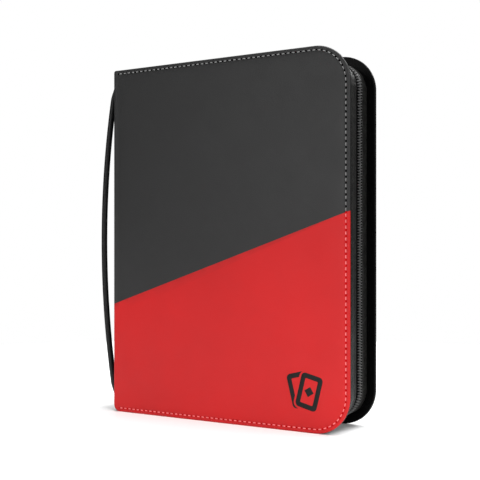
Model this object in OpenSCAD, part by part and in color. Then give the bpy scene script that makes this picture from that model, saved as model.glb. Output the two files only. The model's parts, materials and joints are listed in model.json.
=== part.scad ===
// Zip-around ring binder for trading cards: two padded covers, a spine with a carrying
// handle, a three-ring mechanism, nine-pocket sheets and a zip that runs round three sides.
// The binder stands on its bottom edges. +X is the opening side, -Y the front, +Z up.

/* [Binder] */
// Height of the covers
binder_h = 350; // [330:1:370]
// Width from the spine to the opening edge
binder_w = 265; // [264:1:290]
// Thickness when closed, over both covers
binder_t = 62; // [58:1:70]
// Thickness of one cover, board, skin and lining together
cover_t = 4.4; // [4:0.2:5]
// Corner radius of the covers at the opening edge
fore_corner_r = 35; // [30:1:40]
// Corner radius of the covers at the top of the spine
top_corner_r = 2.5; // [2:0.5:8]
// Corner radius of the covers at the bottom of the spine
bottom_corner_r = 7.5; // [4:0.5:12]

/* [Colour split of the front cover] */
// Height of the colour line at the spine
split_z_spine = 110; // [100:1:120]
// Height of the colour line at the opening edge
split_z_fore = 200.5; // [180:1:220]

/* [Gusset and zip] */
// How far the gusset wall stands in from the cover's edge
gusset_inset = 8.6; // [8:0.2:10]
// Depth of the front gusset's free edge, from the front face
front_gusset_y = 32.5; // [30:0.5:34]
// Depth of the zip's centre line, from the front face
zip_y = 43; // [41:0.5:43.5]
// Depth of the back gusset's free edge, from the front face
back_gusset_y = 49.8; // [48.6:0.2:50.6]
// Width of one row of teeth
coil_w = 3.6; // [3.2:0.2:3.8]
// Where the closed slider is parked, from the spine
slider_x = 37; // [36:1:44]

/* [Rings] */
// Radius of a ring, to the middle of its wire
ring_r = 16; // [15.5:0.5:16.5]
// Radius of the ring wire
wire_r = 1.5; // [1.3:0.1:1.6]
// Distance between neighbouring rings
ring_pitch = 108; // [108]
// Distance of the ring's centre from the outside of the spine
ring_x = 21; // [21:0.5:22]

/* [Sheets] */
// Sheets in front of the middle, and as many behind
sheets_per_side = 5; // [1:1:5]
// Width of a sheet
sheet_w = 222; // [216:1:222]
// Height of a sheet
sheet_h = 286; // [280:1:290]
// Thickness of a sheet's base
sheet_t = 0.4; // [0.3:0.1:0.6]
// Distance between neighbouring sheets
sheet_pitch = 2.1; // [2:0.1:2.2]
// Width of a pocket
pocket_w = 65; // [64:0.5:66]
// Height of a pocket
pocket_h = 91; // [90:0.5:92]

/* [Handle] */
// Thickness of the rolled handle
handle_d = 6; // [5:0.5:7]
// How far the handle's middle stands off the spine, to the middle of the roll
handle_bow = 19.3; // [16:0.1:22]
// Distance of the handle from the front face
handle_y = 10; // [9.5:0.5:14]

/* [Hidden] */
$fn = 96;
SMALL = 0.01;
// how far a cutting body reaches past what it cuts
CUT = 1;
BIG = 400;

// cover layers, as depths from the outer face
skin_t = 1;
lining_t = 0.6;
board_depth = cover_t - lining_t;
lining_inset = 3;
min_corner_r = 1;
hinge_gap = 0.3;
spine_gap = 1.2;
strip_x = 0.2;
strip_fit = 0.1;
spine_y0 = cover_t + spine_gap;
spine_y1 = binder_t - spine_y0;
spine_z_inset = 1.5;

// walls round three sides
gusset_x = 5;
gusset_t = 1.6;
tape_t = 0.8;
tape_inset = gusset_inset + gusset_t;
tape_lap = 3;
tape_edge = 0.7;
row_gap = 0.6;
coil_x = 26;
coil_rise = 2.2;
stop_w = 3;
stop_gap = 0.6;

// zip slider
coil_top_z = binder_h - tape_inset + coil_rise;
slider_l = 12;
slider_w = 10.4;
slider_t = 1.2;
slider_lift = 0.2;
slider_base_z = coil_top_z + slider_lift;
flange_t = 0.6;
flange_drop = 1.6;
neck_t = 0.8;
neck_l = 5;
lower_gap = 0.4;
bridge_post_x = 3.6;
bridge_w = 2;
bridge_post_t = 1;
bridge_gap = 1.8;
bridge_t = 0.9;
pull_lift = 1.1;
pull_axis_z = slider_base_z + slider_t + pull_lift;
pull_bar_r = 0.55;
pull_arm_y = 2.6;
pull_arm_l = 7;
pull_t = 1.1;
pull_l = 27;
pull_w = 8;

// ring mechanism
mid_y = binder_t / 2;
ring_z = [for (i = [-1:1]) binder_h / 2 + i * ring_pitch];
plate_pivot_x = 6.9;
plate_t = 1.2;
plate_half_w = 10.4;
plate_half_l = 119;
plate_slit = 0.2;
rail_half_l = 145;
rail_half_w = 12;
rail_top_x = 9.2;
rail_t = 1;
rail_foot_x = cover_t;
notch_y = 6.3;
notch_half_z = 3;
rivet_off = 125;
rivet_r = 1.6;
rivet_head_r = 3.2;
rivet_head_t = 1.3;
rivet_fit = 0.05;
rivet_end_x = 1.6;
booster_off = 139;
booster_x = 6.4;
booster_w = 9;
booster_t = 1.4;
booster_top_x = 27;
booster_barrel_r = 2;
booster_pad_r = 4.5;
pin_r = 1;
pin_fit = 0.05;
pin_end = 0.4;
ear_y = 5.2;
ear_t = 1.4;
ear_half_z = 5;
slot_half_y = 5;

// sheets
hole_r = 4.5;
hole_inset = 6.5;
film_t = 0.15;
pocket_rise = 0.2;
weld_w = 2;
sheet_corner_r = 3;
first_sheet = sheet_pitch / 2;

// handle arc: a circle through the middle of the bow and both sewn ends
tab_l = 16;
tab_w = 13;
tab_t = 2;
tab_z = 8;
tab_drop = 2;
handle_end_gap = 1.2;
handle_end_x = -tab_t - handle_end_gap;
handle_half = binder_h / 2 - tab_z;
handle_sag = handle_bow + handle_end_x;
handle_r = (pow(handle_half, 2) + pow(handle_sag, 2)) / (2 * handle_sag);
handle_angle = asin(handle_half / handle_r);

// cover mark
mark_off = 44.5;
mark_x = binder_w - mark_off;
mark_z = 38;
mark_depth = 0.4;
card_w = 22;
card_h = 32;
card_r = 4;
card_inner_r = 1;
card_line = 4.6;
card_gap = 1.8;
card_angle = 14;
card_off_x = 4.5;
card_off_z = 0.7;
diamond = 6.8;

// the origin is under the middle of the whole binder, handle included
x_min = -handle_bow - handle_d / 2;
origin = [-(x_min + binder_w) / 2, -binder_t / 2, 0];

SHEETS = [for (i = [1:sheets_per_side]) i];

// ---- outlines, drawn in the plane of a cover: x from the spine, y is the height ----

// extrudes an outline through the depths y0 to y1
module slab(y0, y1) {
  translate([0, y1, 0]) rotate([90, 0, 0]) linear_extrude(y1 - y0) children();
}

// what is cut away at a corner of radius r; sx and sy point out of the corner
module corner_cut(x, y, r, sx, sy) {
  translate([x - sx * r, y - sy * r]) difference() {
    translate([sx > 0 ? 0 : -r - SMALL, sy > 0 ? 0 : -r - SMALL]) square(r + SMALL);
    circle(r);
  }
}

// a rectangle with its own radius at each corner
module rounded_plate(x0, x1, y0, y1, r_fore, r_top, r_bottom) {
  difference() {
    translate([x0, y0]) square([x1 - x0, y1 - y0]);
    corner_cut(x1, y1, r_fore, 1, 1);
    corner_cut(x1, y0, r_fore, 1, -1);
    corner_cut(x0, y1, r_top, -1, 1);
    corner_cut(x0, y0, r_bottom, -1, -1);
  }
}

// a cover's outline, drawn in from its edge by inset
module cover_outline(inset) {
  rounded_plate(hinge_gap + inset, binder_w - inset, inset, binder_h - inset,
                fore_corner_r - inset, max(top_corner_r - inset, min_corner_r),
                max(bottom_corner_r - inset, min_corner_r));
}

// the area inside a wall, open at x0 on the spine side
module wall_area(x0, inset) {
  r = fore_corner_r - inset;
  difference() {
    translate([x0, inset]) square([binder_w - inset - x0, binder_h - 2 * inset]);
    corner_cut(binder_w - inset, binder_h - inset, r, 1, 1);
    corner_cut(binder_w - inset, inset, r, 1, -1);
  }
}

// a wall of thickness t that runs along the top, round the opening side and back
module u_wall(x0, inset, t) {
  difference() {
    wall_area(x0, inset);
    wall_area(x0 - CUT, inset + t);
  }
}

// what lies under the colour line, or above it with upper set
module split_area(upper) {
  slope = (split_z_fore - split_z_spine) / binder_w;
  end_y = upper ? BIG : -BIG;
  polygon([[-BIG, split_z_spine - BIG * slope], [BIG, split_z_spine + BIG * slope],
           [BIG, end_y], [-BIG, end_y]]);
}

module rounded_rect(w, h, r) {
  square([w, h - 2 * r], center = true);
  square([w - 2 * r, h], center = true);
  for (sx = [-1, 1], sy = [-1, 1]) translate([sx * (w / 2 - r), sy * (h / 2 - r)]) circle(r);
}

// ---- covers ----

// a cover's skin: a plate with a pocket for its board, outer face at depth 0
module skin_plate() {
  difference() {
    slab(0, board_depth) cover_outline(0);
    slab(skin_t, board_depth + SMALL) cover_outline(skin_t);
  }
}

module board_plate() {
  slab(skin_t, board_depth) cover_outline(skin_t);
}

module lining_plate() {
  slab(board_depth, cover_t) cover_outline(lining_inset);
}

// puts a cover's parts at the back, outer face at the full thickness
module at_back() {
  translate([0, binder_t, 0]) mirror([0, 1, 0]) children();
}

module back_skin() { color("#2b2b2c") at_back() skin_plate(); }
module back_board() { color("#8d8578") at_back() board_plate(); }
module back_lining() { color("#1f1f21") at_back() lining_plate(); }
module front_board() { color("#8d8578") board_plate(); }
module front_lining() { color("#1f1f21") lining_plate(); }

module front_skin_black() {
  color("#3a3a3a") intersection() {
    skin_plate();
    slab(-CUT, cover_t) split_area(true);
  }
}

module front_skin_red() {
  color("#d03738") difference() {
    intersection() {
      skin_plate();
      slab(-CUT, cover_t) split_area(false);
    }
    slab(-CUT, mark_depth) mark_shape();
  }
}

// the mark: two fanned card outlines, the front one with a diamond
module mark_card() {
  difference() {
    rounded_rect(card_w, card_h, card_r);
    rounded_rect(card_w - 2 * card_line, card_h - 2 * card_line, card_inner_r);
  }
}

// puts a card of the mark in place; side is 1 for the front card, -1 for the one behind it
module fanned(side) {
  translate([side * card_off_x, -side * card_off_z]) rotate(-side * card_angle) children();
}

module mark_shape() {
  translate([mark_x, mark_z]) {
    fanned(1) {
      mark_card();
      rotate(45) square(diamond, center = true);
    }
    difference() {
      fanned(-1) mark_card();
      fanned(1) rounded_rect(card_w + 2 * card_gap, card_h + 2 * card_gap, card_r + card_gap);
    }
  }
}

module front_mark() { color("#28292a") slab(0, mark_depth) mark_shape(); }

// ---- gussets and zip ----

module front_gusset() {
  color("#303031") slab(cover_t, front_gusset_y) u_wall(gusset_x, gusset_inset, gusset_t);
}

module back_gusset() {
  color("#303031") slab(back_gusset_y, binder_t - cover_t)
    u_wall(gusset_x, gusset_inset, gusset_t);
}

module front_zip_tape() {
  color("#242425") slab(front_gusset_y - tape_lap, zip_y - tape_edge)
    u_wall(gusset_x, tape_inset, tape_t);
}

module back_zip_tape() {
  color("#242425") slab(zip_y + tape_edge, back_gusset_y + tape_lap)
    u_wall(gusset_x, tape_inset, tape_t);
}

module front_zip_coil() {
  color("#3d3d3e") slab(zip_y - row_gap - coil_w, zip_y - row_gap)
    u_wall(coil_x, tape_inset - coil_rise, coil_rise);
}

module back_zip_coil() {
  color("#3d3d3e") slab(zip_y + row_gap, zip_y + row_gap + coil_w)
    u_wall(coil_x, tape_inset - coil_rise, coil_rise);
}

// a metal stop at both ends of one row of teeth, between the depths y0 and y1
module zip_stops(y0, y1) {
  x0 = coil_x - stop_gap - stop_w;
  slab(y0, y1) for (z = [tape_inset - coil_rise, binder_h - tape_inset])
    translate([x0, z]) square([stop_w, coil_rise]);
}

module front_zip_stops() {
  color("#55565a") zip_stops(zip_y - row_gap - coil_w, zip_y - row_gap);
}

module back_zip_stops() {
  color("#55565a") zip_stops(zip_y + row_gap, zip_y + row_gap + coil_w);
}

// the slider clasps the back row; its neck runs in the slit between the rows
module zip_slider() {
  x0 = slider_x - slider_l / 2;
  lower_z = binder_h - tape_inset - tape_t - lower_gap - slider_t;
  bridge_z = slider_base_z + slider_t;
  color("#4a4b4e") union() {
    translate([x0, zip_y - slider_w / 2, slider_base_z]) cube([slider_l, slider_w, slider_t]);
    translate([x0, zip_y - slider_w / 2, lower_z]) cube([slider_l, slider_w, slider_t]);
    translate([x0, zip_y - neck_t / 2, lower_z + SMALL])
      cube([neck_l, neck_t, slider_base_z - lower_z]);
    translate([x0, zip_y + slider_w / 2 - flange_t, slider_base_z - flange_drop])
      cube([slider_l, flange_t, flange_drop + SMALL]);
    for (side = [-1, 1]) translate([slider_x + side * bridge_post_x, zip_y, bridge_z])
      translate([-bridge_post_t / 2, -bridge_w / 2, -SMALL])
        cube([bridge_post_t, bridge_w, bridge_gap + 2 * SMALL]);
    translate([slider_x - bridge_post_x - bridge_post_t / 2, zip_y - bridge_w / 2,
               bridge_z + bridge_gap])
      cube([2 * bridge_post_x + bridge_post_t, bridge_w, bridge_t]);
  }
}

// the pull: a bar under the slider's bridge, two arms and a tab that lies towards the spine
module zip_pull() {
  tab_x = slider_x - pull_arm_l;
  tab_end_x = slider_x - pull_l + pull_w / 2;
  color("#4a4b4e") translate([0, zip_y, pull_axis_z]) {
    difference() {
      union() {
        translate([slider_x, pull_arm_y + pull_t / 2, 0]) rotate([90, 0, 0])
          cylinder(h = 2 * pull_arm_y + pull_t, r = pull_bar_r);
        for (side = [-1, 1])
          translate([tab_x, side * pull_arm_y - pull_t / 2, -pull_t / 2])
            cube([pull_arm_l, pull_t, pull_t]);
        translate([tab_end_x, -pull_w / 2, -pull_t / 2])
          cube([tab_x - tab_end_x, pull_w, pull_t]);
        translate([tab_end_x, 0, -pull_t / 2]) cylinder(h = pull_t, r = pull_w / 2);
      }
      translate([tab_end_x, 0, -pull_t]) cylinder(h = 2 * pull_t, r = pull_w / 4);
    }
  }
}

// ---- spine and handle ----

// a plate of the spine between the depths x0 and x1 from its outer face
module spine_plate(x0, x1, inset) {
  translate([x0, spine_y0 + inset, spine_z_inset + inset])
    cube([x1 - x0, spine_y1 - spine_y0 - 2 * inset,
          binder_h - 2 * spine_z_inset - 2 * inset]);
}

module rivet_holes() {
  for (side = [-1, 1]) translate([rivet_end_x, mid_y, binder_h / 2 + side * rivet_off])
    rotate([0, 90, 0]) cylinder(h = rail_top_x, r = rivet_r + rivet_fit);
}

module spine_skin() {
  color("#2b2b2c") difference() {
    spine_plate(0, board_depth, 0);
    spine_plate(skin_t, board_depth + SMALL, skin_t);
  }
}

module spine_board() {
  color("#8d8578") difference() {
    spine_plate(skin_t, board_depth, skin_t);
    rivet_holes();
  }
}

module spine_lining() {
  color("#1f1f21") difference() {
    spine_plate(board_depth, cover_t, 0);
    rivet_holes();
  }
}

// the rolled handle is an arc of a large circle, flattened into a sewn tab at both ends
module carry_handle() {
  color("#262627") translate([0, handle_y, binder_h / 2]) {
    translate([handle_r - handle_bow, 0, 0]) rotate([90, 0, 0])
      rotate([0, 0, 180 - handle_angle]) rotate_extrude(angle = 2 * handle_angle)
        translate([handle_r, 0]) circle(handle_d / 2, $fn = 32);
    for (side = [-1, 1]) {
      translate([handle_end_x, 0, side * handle_half]) sphere(handle_d / 2);
      translate([-tab_t, spine_y0 - handle_y, side * (handle_half - tab_drop) - tab_l / 2])
        cube([tab_t, tab_w, tab_l]);
    }
  }
}

// a skin strip that closes the slit between the spine and a cover
module hinge_strip() {
  translate([strip_x, cover_t + strip_fit, bottom_corner_r])
    cube([skin_t, spine_gap - 2 * strip_fit, binder_h - 2 * bottom_corner_r]);
}

module front_hinge_strip() { color("#242425") hinge_strip(); }
module back_hinge_strip() { color("#242425") at_back() hinge_strip(); }

// ---- ring mechanism ----

// the half of a ring on the side of the front cover, from the hinge plate to the tip
module ring_halves() {
  for (z = ring_z) translate([ring_x, mid_y, z]) intersection() {
    rotate_extrude() translate([ring_r, 0]) circle(wire_r, $fn = 32);
    translate([plate_pivot_x + plate_t / 2 - ring_x, -BIG, -BIG / 2]) cube([BIG, BIG, BIG]);
  }
}

// one hinge plate, between the rivets
module hinge_plate() {
  translate([plate_pivot_x - plate_t / 2, mid_y - plate_half_w, binder_h / 2 - plate_half_l])
    cube([plate_t, plate_half_w - plate_slit, 2 * plate_half_l]);
}

// the curled rail that covers the hinge plates
module ring_rail() {
  color("silver") difference() {
    union() {
      translate([rail_top_x - rail_t, mid_y - rail_half_w, binder_h / 2 - rail_half_l])
        cube([rail_t, 2 * rail_half_w, 2 * rail_half_l]);
      for (side = [-1, 1])
        translate([rail_foot_x, mid_y + side * (rail_half_w - rail_t / 2) - rail_t / 2,
                   binder_h / 2 - rail_half_l])
          cube([rail_top_x - rail_foot_x, rail_t, 2 * rail_half_l]);
      for (end = [-1, 1], side = [-1, 1])
        translate([rail_foot_x, mid_y + side * (ear_y + ear_t / 2) - ear_t / 2,
                   binder_h / 2 + end * booster_off - ear_half_z])
          cube([rail_top_x - rail_foot_x, ear_t, 2 * ear_half_z]);
    }
    for (z = ring_z, side = [-1, 1])
      translate([rail_foot_x - CUT, side > 0 ? mid_y + notch_y : 0, z - notch_half_z])
        cube([ring_x, side > 0 ? BIG : mid_y - notch_y, 2 * notch_half_z]);
    for (end = [-1, 1])
      translate([rail_foot_x - CUT, mid_y - slot_half_y,
                 end > 0 ? binder_h / 2 + booster_off - ear_half_z : 0])
        cube([ring_x, 2 * slot_half_y,
              end > 0 ? BIG : binder_h / 2 - booster_off + ear_half_z]);
    rivet_holes();
    for (end = [-1, 1]) booster_axis(end, pin_r + pin_fit);
  }
}

// a bar on a booster's axis, across both ears
module booster_axis(end, r) {
  half = ear_y + ear_t + pin_end;
  translate([booster_x, mid_y + half, binder_h / 2 + end * booster_off])
    rotate([90, 0, 0]) cylinder(h = 2 * half, r = r);
}

module booster_pins() {
  color("silver") for (end = [-1, 1]) booster_axis(end, pin_r);
}

module rail_rivets() {
  color("silver") for (side = [-1, 1])
    translate([0, mid_y, binder_h / 2 + side * rivet_off]) rotate([0, 90, 0]) {
      translate([0, 0, rivet_end_x]) cylinder(h = rail_top_x - rivet_end_x, r = rivet_r);
      translate([0, 0, rail_top_x]) cylinder(h = rivet_head_t, r = rivet_head_r);
    }
}

// a lever that stands up from the rail's end, with a round thumb pad
module booster(end) {
  arm_l = booster_top_x - booster_x - booster_pad_r;
  color("silver") translate([booster_x, mid_y, binder_h / 2 + end * booster_off]) {
    difference() {
      union() {
        translate([0, booster_w / 2, 0]) rotate([90, 0, 0])
          cylinder(h = booster_w, r = booster_barrel_r);
        translate([0, -booster_w / 2, -booster_t / 2]) cube([arm_l, booster_w, booster_t]);
        translate([arm_l, 0, -booster_t / 2]) cylinder(h = booster_t, r = booster_pad_r);
      }
      translate([0, booster_w, 0]) rotate([90, 0, 0])
        cylinder(h = 2 * booster_w, r = pin_r + pin_fit);
    }
  }
}

module front_ring_halves() { color("silver") ring_halves(); }
module back_ring_halves() { color("silver") at_back() ring_halves(); }
module front_hinge_plate() { color("silver") hinge_plate(); }
module back_hinge_plate() { color("silver") at_back() hinge_plate(); }
module booster_top() { booster(1); }
module booster_bottom() { booster(-1); }

// ---- sheets ----

// a sheet's distance from the middle of the rings, and where the rings cross it
function sheet_off(i) = first_sheet + (i - 1) * sheet_pitch;
function hole_x(i) = ring_x + sqrt(pow(ring_r, 2) - pow(sheet_off(i), 2));
function sheet_x(i) = hole_x(i) - hole_inset;

// pockets sit at the free edge; what is left beside them holds the holes
function pocket_x(i, column) =
  sheet_x(i) + sheet_w - weld_w - pocket_w - column * (pocket_w + weld_w);
function pocket_z(row) =
  binder_h / 2 + (row - 1) * (pocket_h + weld_w) - pocket_h / 2;

module sheet(i) {
  y = mid_y - sheet_off(i);
  slab(y - sheet_t / 2, y + sheet_t / 2) difference() {
    translate([sheet_x(i) + sheet_w / 2, binder_h / 2])
      rounded_rect(sheet_w, sheet_h, sheet_corner_r);
    for (z = ring_z) translate([hole_x(i), z]) circle(hole_r);
  }
}

// the clear film with its nine pockets, on both faces of a sheet
module pockets(i) {
  y = mid_y - sheet_off(i);
  x0 = pocket_x(i, 2) - weld_w;
  for (side = [-1, 1]) {
    face = y + side * sheet_t / 2;
    film = face + side * film_t;
    top = film + side * pocket_rise;
    slab(min(face, film), max(face, film)) translate([x0, pocket_z(0) - weld_w])
      square([3 * (pocket_w + weld_w) + weld_w, 3 * (pocket_h + weld_w) + weld_w]);
    slab(min(film, top), max(film, top)) for (column = [0:2], row = [0:2])
      translate([pocket_x(i, column), pocket_z(row)]) square([pocket_w, pocket_h]);
  }
}

module front_sheet(i) { color("#19191b") sheet(i); }
module back_sheet(i) { color("#19191b") at_back() sheet(i); }
module front_pockets(i) { color("#c8ccd0", 0.4) pockets(i); }
module back_pockets(i) { color("#c8ccd0", 0.4) at_back() pockets(i); }

// ---- the binder ----

module placed() { translate(origin) children(); }

placed() back_skin();
placed() back_board();
placed() back_lining();
placed() back_gusset();
placed() back_zip_tape();
placed() back_zip_coil();
placed() back_zip_stops();
placed() spine_skin();
placed() spine_board();
placed() spine_lining();
placed() carry_handle();
placed() ring_rail();
placed() rail_rivets();
placed() booster_pins();
placed() front_hinge_strip();
placed() back_hinge_strip();
placed() front_skin_black();
placed() front_skin_red();
placed() front_board();
placed() front_lining();
placed() front_mark();
placed() front_gusset();
placed() front_zip_tape();
placed() front_zip_coil();
placed() front_zip_stops();
placed() front_ring_halves();
placed() front_hinge_plate();
placed() back_ring_halves();
placed() back_hinge_plate();
placed() booster_top();
placed() booster_bottom();
placed() zip_slider();
placed() zip_pull();
for (i = SHEETS) placed() front_sheet(i);
for (i = SHEETS) placed() back_sheet(i);
for (i = SHEETS) placed() front_pockets(i);
for (i = SHEETS) placed() back_pockets(i);
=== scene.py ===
"""The finished look of a zip-around card binder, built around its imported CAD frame.

Shapes are written in millimetres as (u, v, z): u from the spine's outer face towards the
opening edge, v from the front cover's outer face to the back, z above the floor.
"""

import json
import math

import bmesh
import bpy
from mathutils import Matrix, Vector, noise
from mathutils.kdtree import KDTree

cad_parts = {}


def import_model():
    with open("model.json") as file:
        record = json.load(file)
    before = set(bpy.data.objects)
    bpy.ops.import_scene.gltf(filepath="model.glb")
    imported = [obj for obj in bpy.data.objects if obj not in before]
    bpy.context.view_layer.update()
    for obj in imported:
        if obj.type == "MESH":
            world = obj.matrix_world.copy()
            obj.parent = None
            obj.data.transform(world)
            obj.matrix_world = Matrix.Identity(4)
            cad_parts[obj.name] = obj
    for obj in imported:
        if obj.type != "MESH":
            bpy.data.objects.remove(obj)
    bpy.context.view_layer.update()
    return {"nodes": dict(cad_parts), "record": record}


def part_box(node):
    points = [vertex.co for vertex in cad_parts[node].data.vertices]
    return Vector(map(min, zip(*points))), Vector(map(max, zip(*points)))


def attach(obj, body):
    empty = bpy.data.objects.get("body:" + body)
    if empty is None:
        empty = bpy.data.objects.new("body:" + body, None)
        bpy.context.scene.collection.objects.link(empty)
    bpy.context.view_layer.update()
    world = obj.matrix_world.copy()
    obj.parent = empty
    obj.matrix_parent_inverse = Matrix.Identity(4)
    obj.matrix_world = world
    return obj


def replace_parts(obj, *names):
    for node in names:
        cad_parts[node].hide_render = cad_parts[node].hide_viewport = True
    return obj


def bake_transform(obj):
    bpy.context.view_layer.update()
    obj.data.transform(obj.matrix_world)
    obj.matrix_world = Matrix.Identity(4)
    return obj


MM = 0.001

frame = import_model()

# ---- places, all from the frame ----

FRONT_LOW, FRONT_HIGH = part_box("front_skin_black")
RED_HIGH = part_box("front_skin_red")[1]
BACK_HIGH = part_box("back_skin")[1]
U0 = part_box("spine_skin")[0].x
V0 = FRONT_LOW.y
WIDTH = (FRONT_HIGH.x - U0) / MM
DEPTH = (BACK_HIGH.y - V0) / MM
HEIGHT = BACK_HIGH.z / MM
COVER_LEFT = (FRONT_LOW.x - U0) / MM
SPLIT_LOW = FRONT_LOW.z / MM
SPLIT_HIGH = RED_HIGH.z / MM


def put(u, v, z):
    """The frame's own point, in metres, for a place in millimetres."""
    return Vector((U0 + u * MM, V0 + v * MM, z * MM))


def at_depth(side, depth):
    """v of a place at some depth under the outer face of the front or the back cover."""
    return depth if side == "front" else DEPTH - depth


def span(node):
    """A CAD node's box in millimetres: ((u, u), (v, v), (z, z))."""
    low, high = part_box(node)
    return (
        ((low.x - U0) / MM, (high.x - U0) / MM),
        ((low.y - V0) / MM, (high.y - V0) / MM),
        (low.z / MM, high.z / MM),
    )


# ---- sizes, in millimetres ----

# a cover's corners: the two at the opening edge, and the upper and lower ones at the spine
FORE_R = 35
TOP_R = 2.5
BOTTOM_R = 7.5
LEAST_R = 0.6

# steps between the points of an outline
FINE = 0.7
COARSE = 4.0

STITCH_INSET = 3.9
STITCH_PITCH = 5.25
STITCH_LENGTH = 3.1
THREAD_R = 0.5
# depth of the groove that a seam lies in, and of the dimple at each needle hole
GROOVE = 0.78
PIT_DEPTH = 0.5
PIT_R = 1.0
PIT_REACH = 1.2


def smooth(x, low, high):
    """0 below low, 1 above high and a smooth step between them."""
    t = min(1, max(0, (x - low) / (high - low)))
    return t * t * (3 - 2 * t)


def mix(a, b, t):
    """The number at share t of the way from a to b."""
    return a + (b - a) * t


# ---- meshes ----


def to_object(name, bm, material, smooth_angle=35):
    """Makes an object of a bmesh in metres, smooth shaded except across sharp edges."""
    bmesh.ops.recalc_face_normals(bm, faces=bm.faces)
    limit = math.radians(smooth_angle)
    for face in bm.faces:
        face.smooth = True
    for edge in bm.edges:
        if len(edge.link_faces) == 2 and edge.calc_face_angle(0) > limit:
            edge.smooth = False
    mesh = bpy.data.meshes.new(name)
    bm.to_mesh(mesh)
    bm.free()
    mesh.materials.append(material)
    obj = bpy.data.objects.new(name, mesh)
    bpy.context.scene.collection.objects.link(obj)
    return obj


def add_loft(bm, rings, wrap=False):
    """Joins rings of points, all with the same count, into a skin.

    The ends are capped, or with wrap the last ring joins the first."""
    rows = [[bm.verts.new(p) for p in ring] for ring in rings]
    count = len(rows[0])
    for a, b in zip(rows, rows[1:] + rows[:1] if wrap else rows[1:]):
        for i in range(count):
            j = (i + 1) % count
            bm.faces.new((a[i], a[j], b[j], b[i]))
    if not wrap:
        bm.faces.new(rows[0])
        bm.faces.new(rows[-1])


def loft(name, rings, material, smooth_angle=35, wrap=False):
    """Makes an object of rings of points."""
    bm = bmesh.new()
    add_loft(bm, rings, wrap)
    return to_object(name, bm, material, smooth_angle)


# ---- outlines ----


def line(points, a, b, count):
    """Adds count points from a towards b, without b itself."""
    for i in range(count):
        t = i / count
        points.append((mix(a[0], b[0], t), mix(a[1], b[1], t)))


def arc(points, centre, radius, start, end, count):
    """Adds count points of an arc between two angles in degrees, without its end."""
    for i in range(count):
        angle = math.radians(mix(start, end, i / count))
        points.append((centre[0] + radius * math.cos(angle), centre[1] + radius * math.sin(angle)))


def three_sides(inset, start, step):
    """The open run along the top, round the opening edge and back along the bottom, as (u, z).

    It starts and ends at u = start, and has the same number of points at every inset."""
    high_u, high_z, low_z = WIDTH - inset, HEIGHT - inset, inset
    r = max(FORE_R - inset, LEAST_R)
    straight = max(1, round((WIDTH - FORE_R) / step))
    side = max(1, round((HEIGHT - 2 * FORE_R) / step))
    bend = max(6, round(FORE_R * 1.4 / step))
    points = []
    line(points, (start, high_z), (high_u - r, high_z), straight)
    arc(points, (high_u - r, high_z - r), r, 90, 0, bend)
    line(points, (high_u, high_z - r), (high_u, low_z + r), side)
    arc(points, (high_u - r, low_z + r), r, 0, -90, bend)
    line(points, (high_u - r, low_z), (start, low_z), straight)
    points.append((start, low_z))
    return points


def cover_ring(inset, step):
    """A cover's closed outline, drawn in by inset, as (u, z)."""
    low_u = COVER_LEFT + inset
    top_r = max(TOP_R - inset, LEAST_R)
    bottom_r = max(BOTTOM_R - inset, LEAST_R)
    points = three_sides(inset, low_u + top_r, step)
    count = len(points)
    shift = bottom_r - top_r
    bottom = round((WIDTH - FORE_R) / step) + 1
    for i in range(count - bottom, count):
        u, z = points[i]
        points[i] = (u + shift * (i - count + bottom) / (bottom - 1), z)
    points.pop()
    arc(points, (low_u + bottom_r, inset + bottom_r), bottom_r, -90, -180, 8)
    line(points, (low_u, inset + bottom_r), (low_u, HEIGHT - inset - top_r), 48)
    arc(points, (low_u + top_r, HEIGHT - inset - top_r), top_r, 180, 90, 8)
    return points


def box_ring(low, high, inset, radius, step=12):
    """A rectangle with round corners, drawn in by inset."""
    x0, y0, x1, y1 = low[0] + inset, low[1] + inset, high[0] - inset, high[1] - inset
    r = max(radius - inset, LEAST_R / 2)
    across = max(2, round((high[0] - low[0]) / step))
    up = max(2, round((high[1] - low[1]) / step))
    points = []
    line(points, (x0 + r, y1), (x1 - r, y1), across)
    arc(points, (x1 - r, y1 - r), r, 90, 0, 6)
    line(points, (x1, y1 - r), (x1, y0 + r), up)
    arc(points, (x1 - r, y0 + r), r, 0, -90, 6)
    line(points, (x1 - r, y0), (x0 + r, y0), across)
    arc(points, (x0 + r, y0 + r), r, -90, -180, 6)
    line(points, (x0, y0 + r), (x0, y1 - r), up)
    arc(points, (x0 + r, y1 - r), r, 180, 90, 6)
    return points


def circle(u, v, z, radius, count):
    """A ring of points round (u, z), in metres."""
    turns = [2 * math.pi * k / count for k in range(count)]
    return [put(u + radius * math.cos(t), v, z + radius * math.sin(t)) for t in turns]


def walk(points, pitch, start=0.0):
    """Places at equal steps along a run of (u, z) points, each with its unit direction."""
    places, travelled, wanted = [], 0.0, start
    for (u0, z0), (u1, z1) in zip(points, points[1:]):
        length = math.hypot(u1 - u0, z1 - z0)
        if length == 0:
            continue
        direction = ((u1 - u0) / length, (z1 - z0) / length)
        while travelled + length >= wanted:
            t = (wanted - travelled) / length
            places.append(((mix(u0, u1, t), mix(z0, z1, t)), direction))
            wanted += pitch
        travelled += length
    return places


# ---- materials ----


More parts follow.
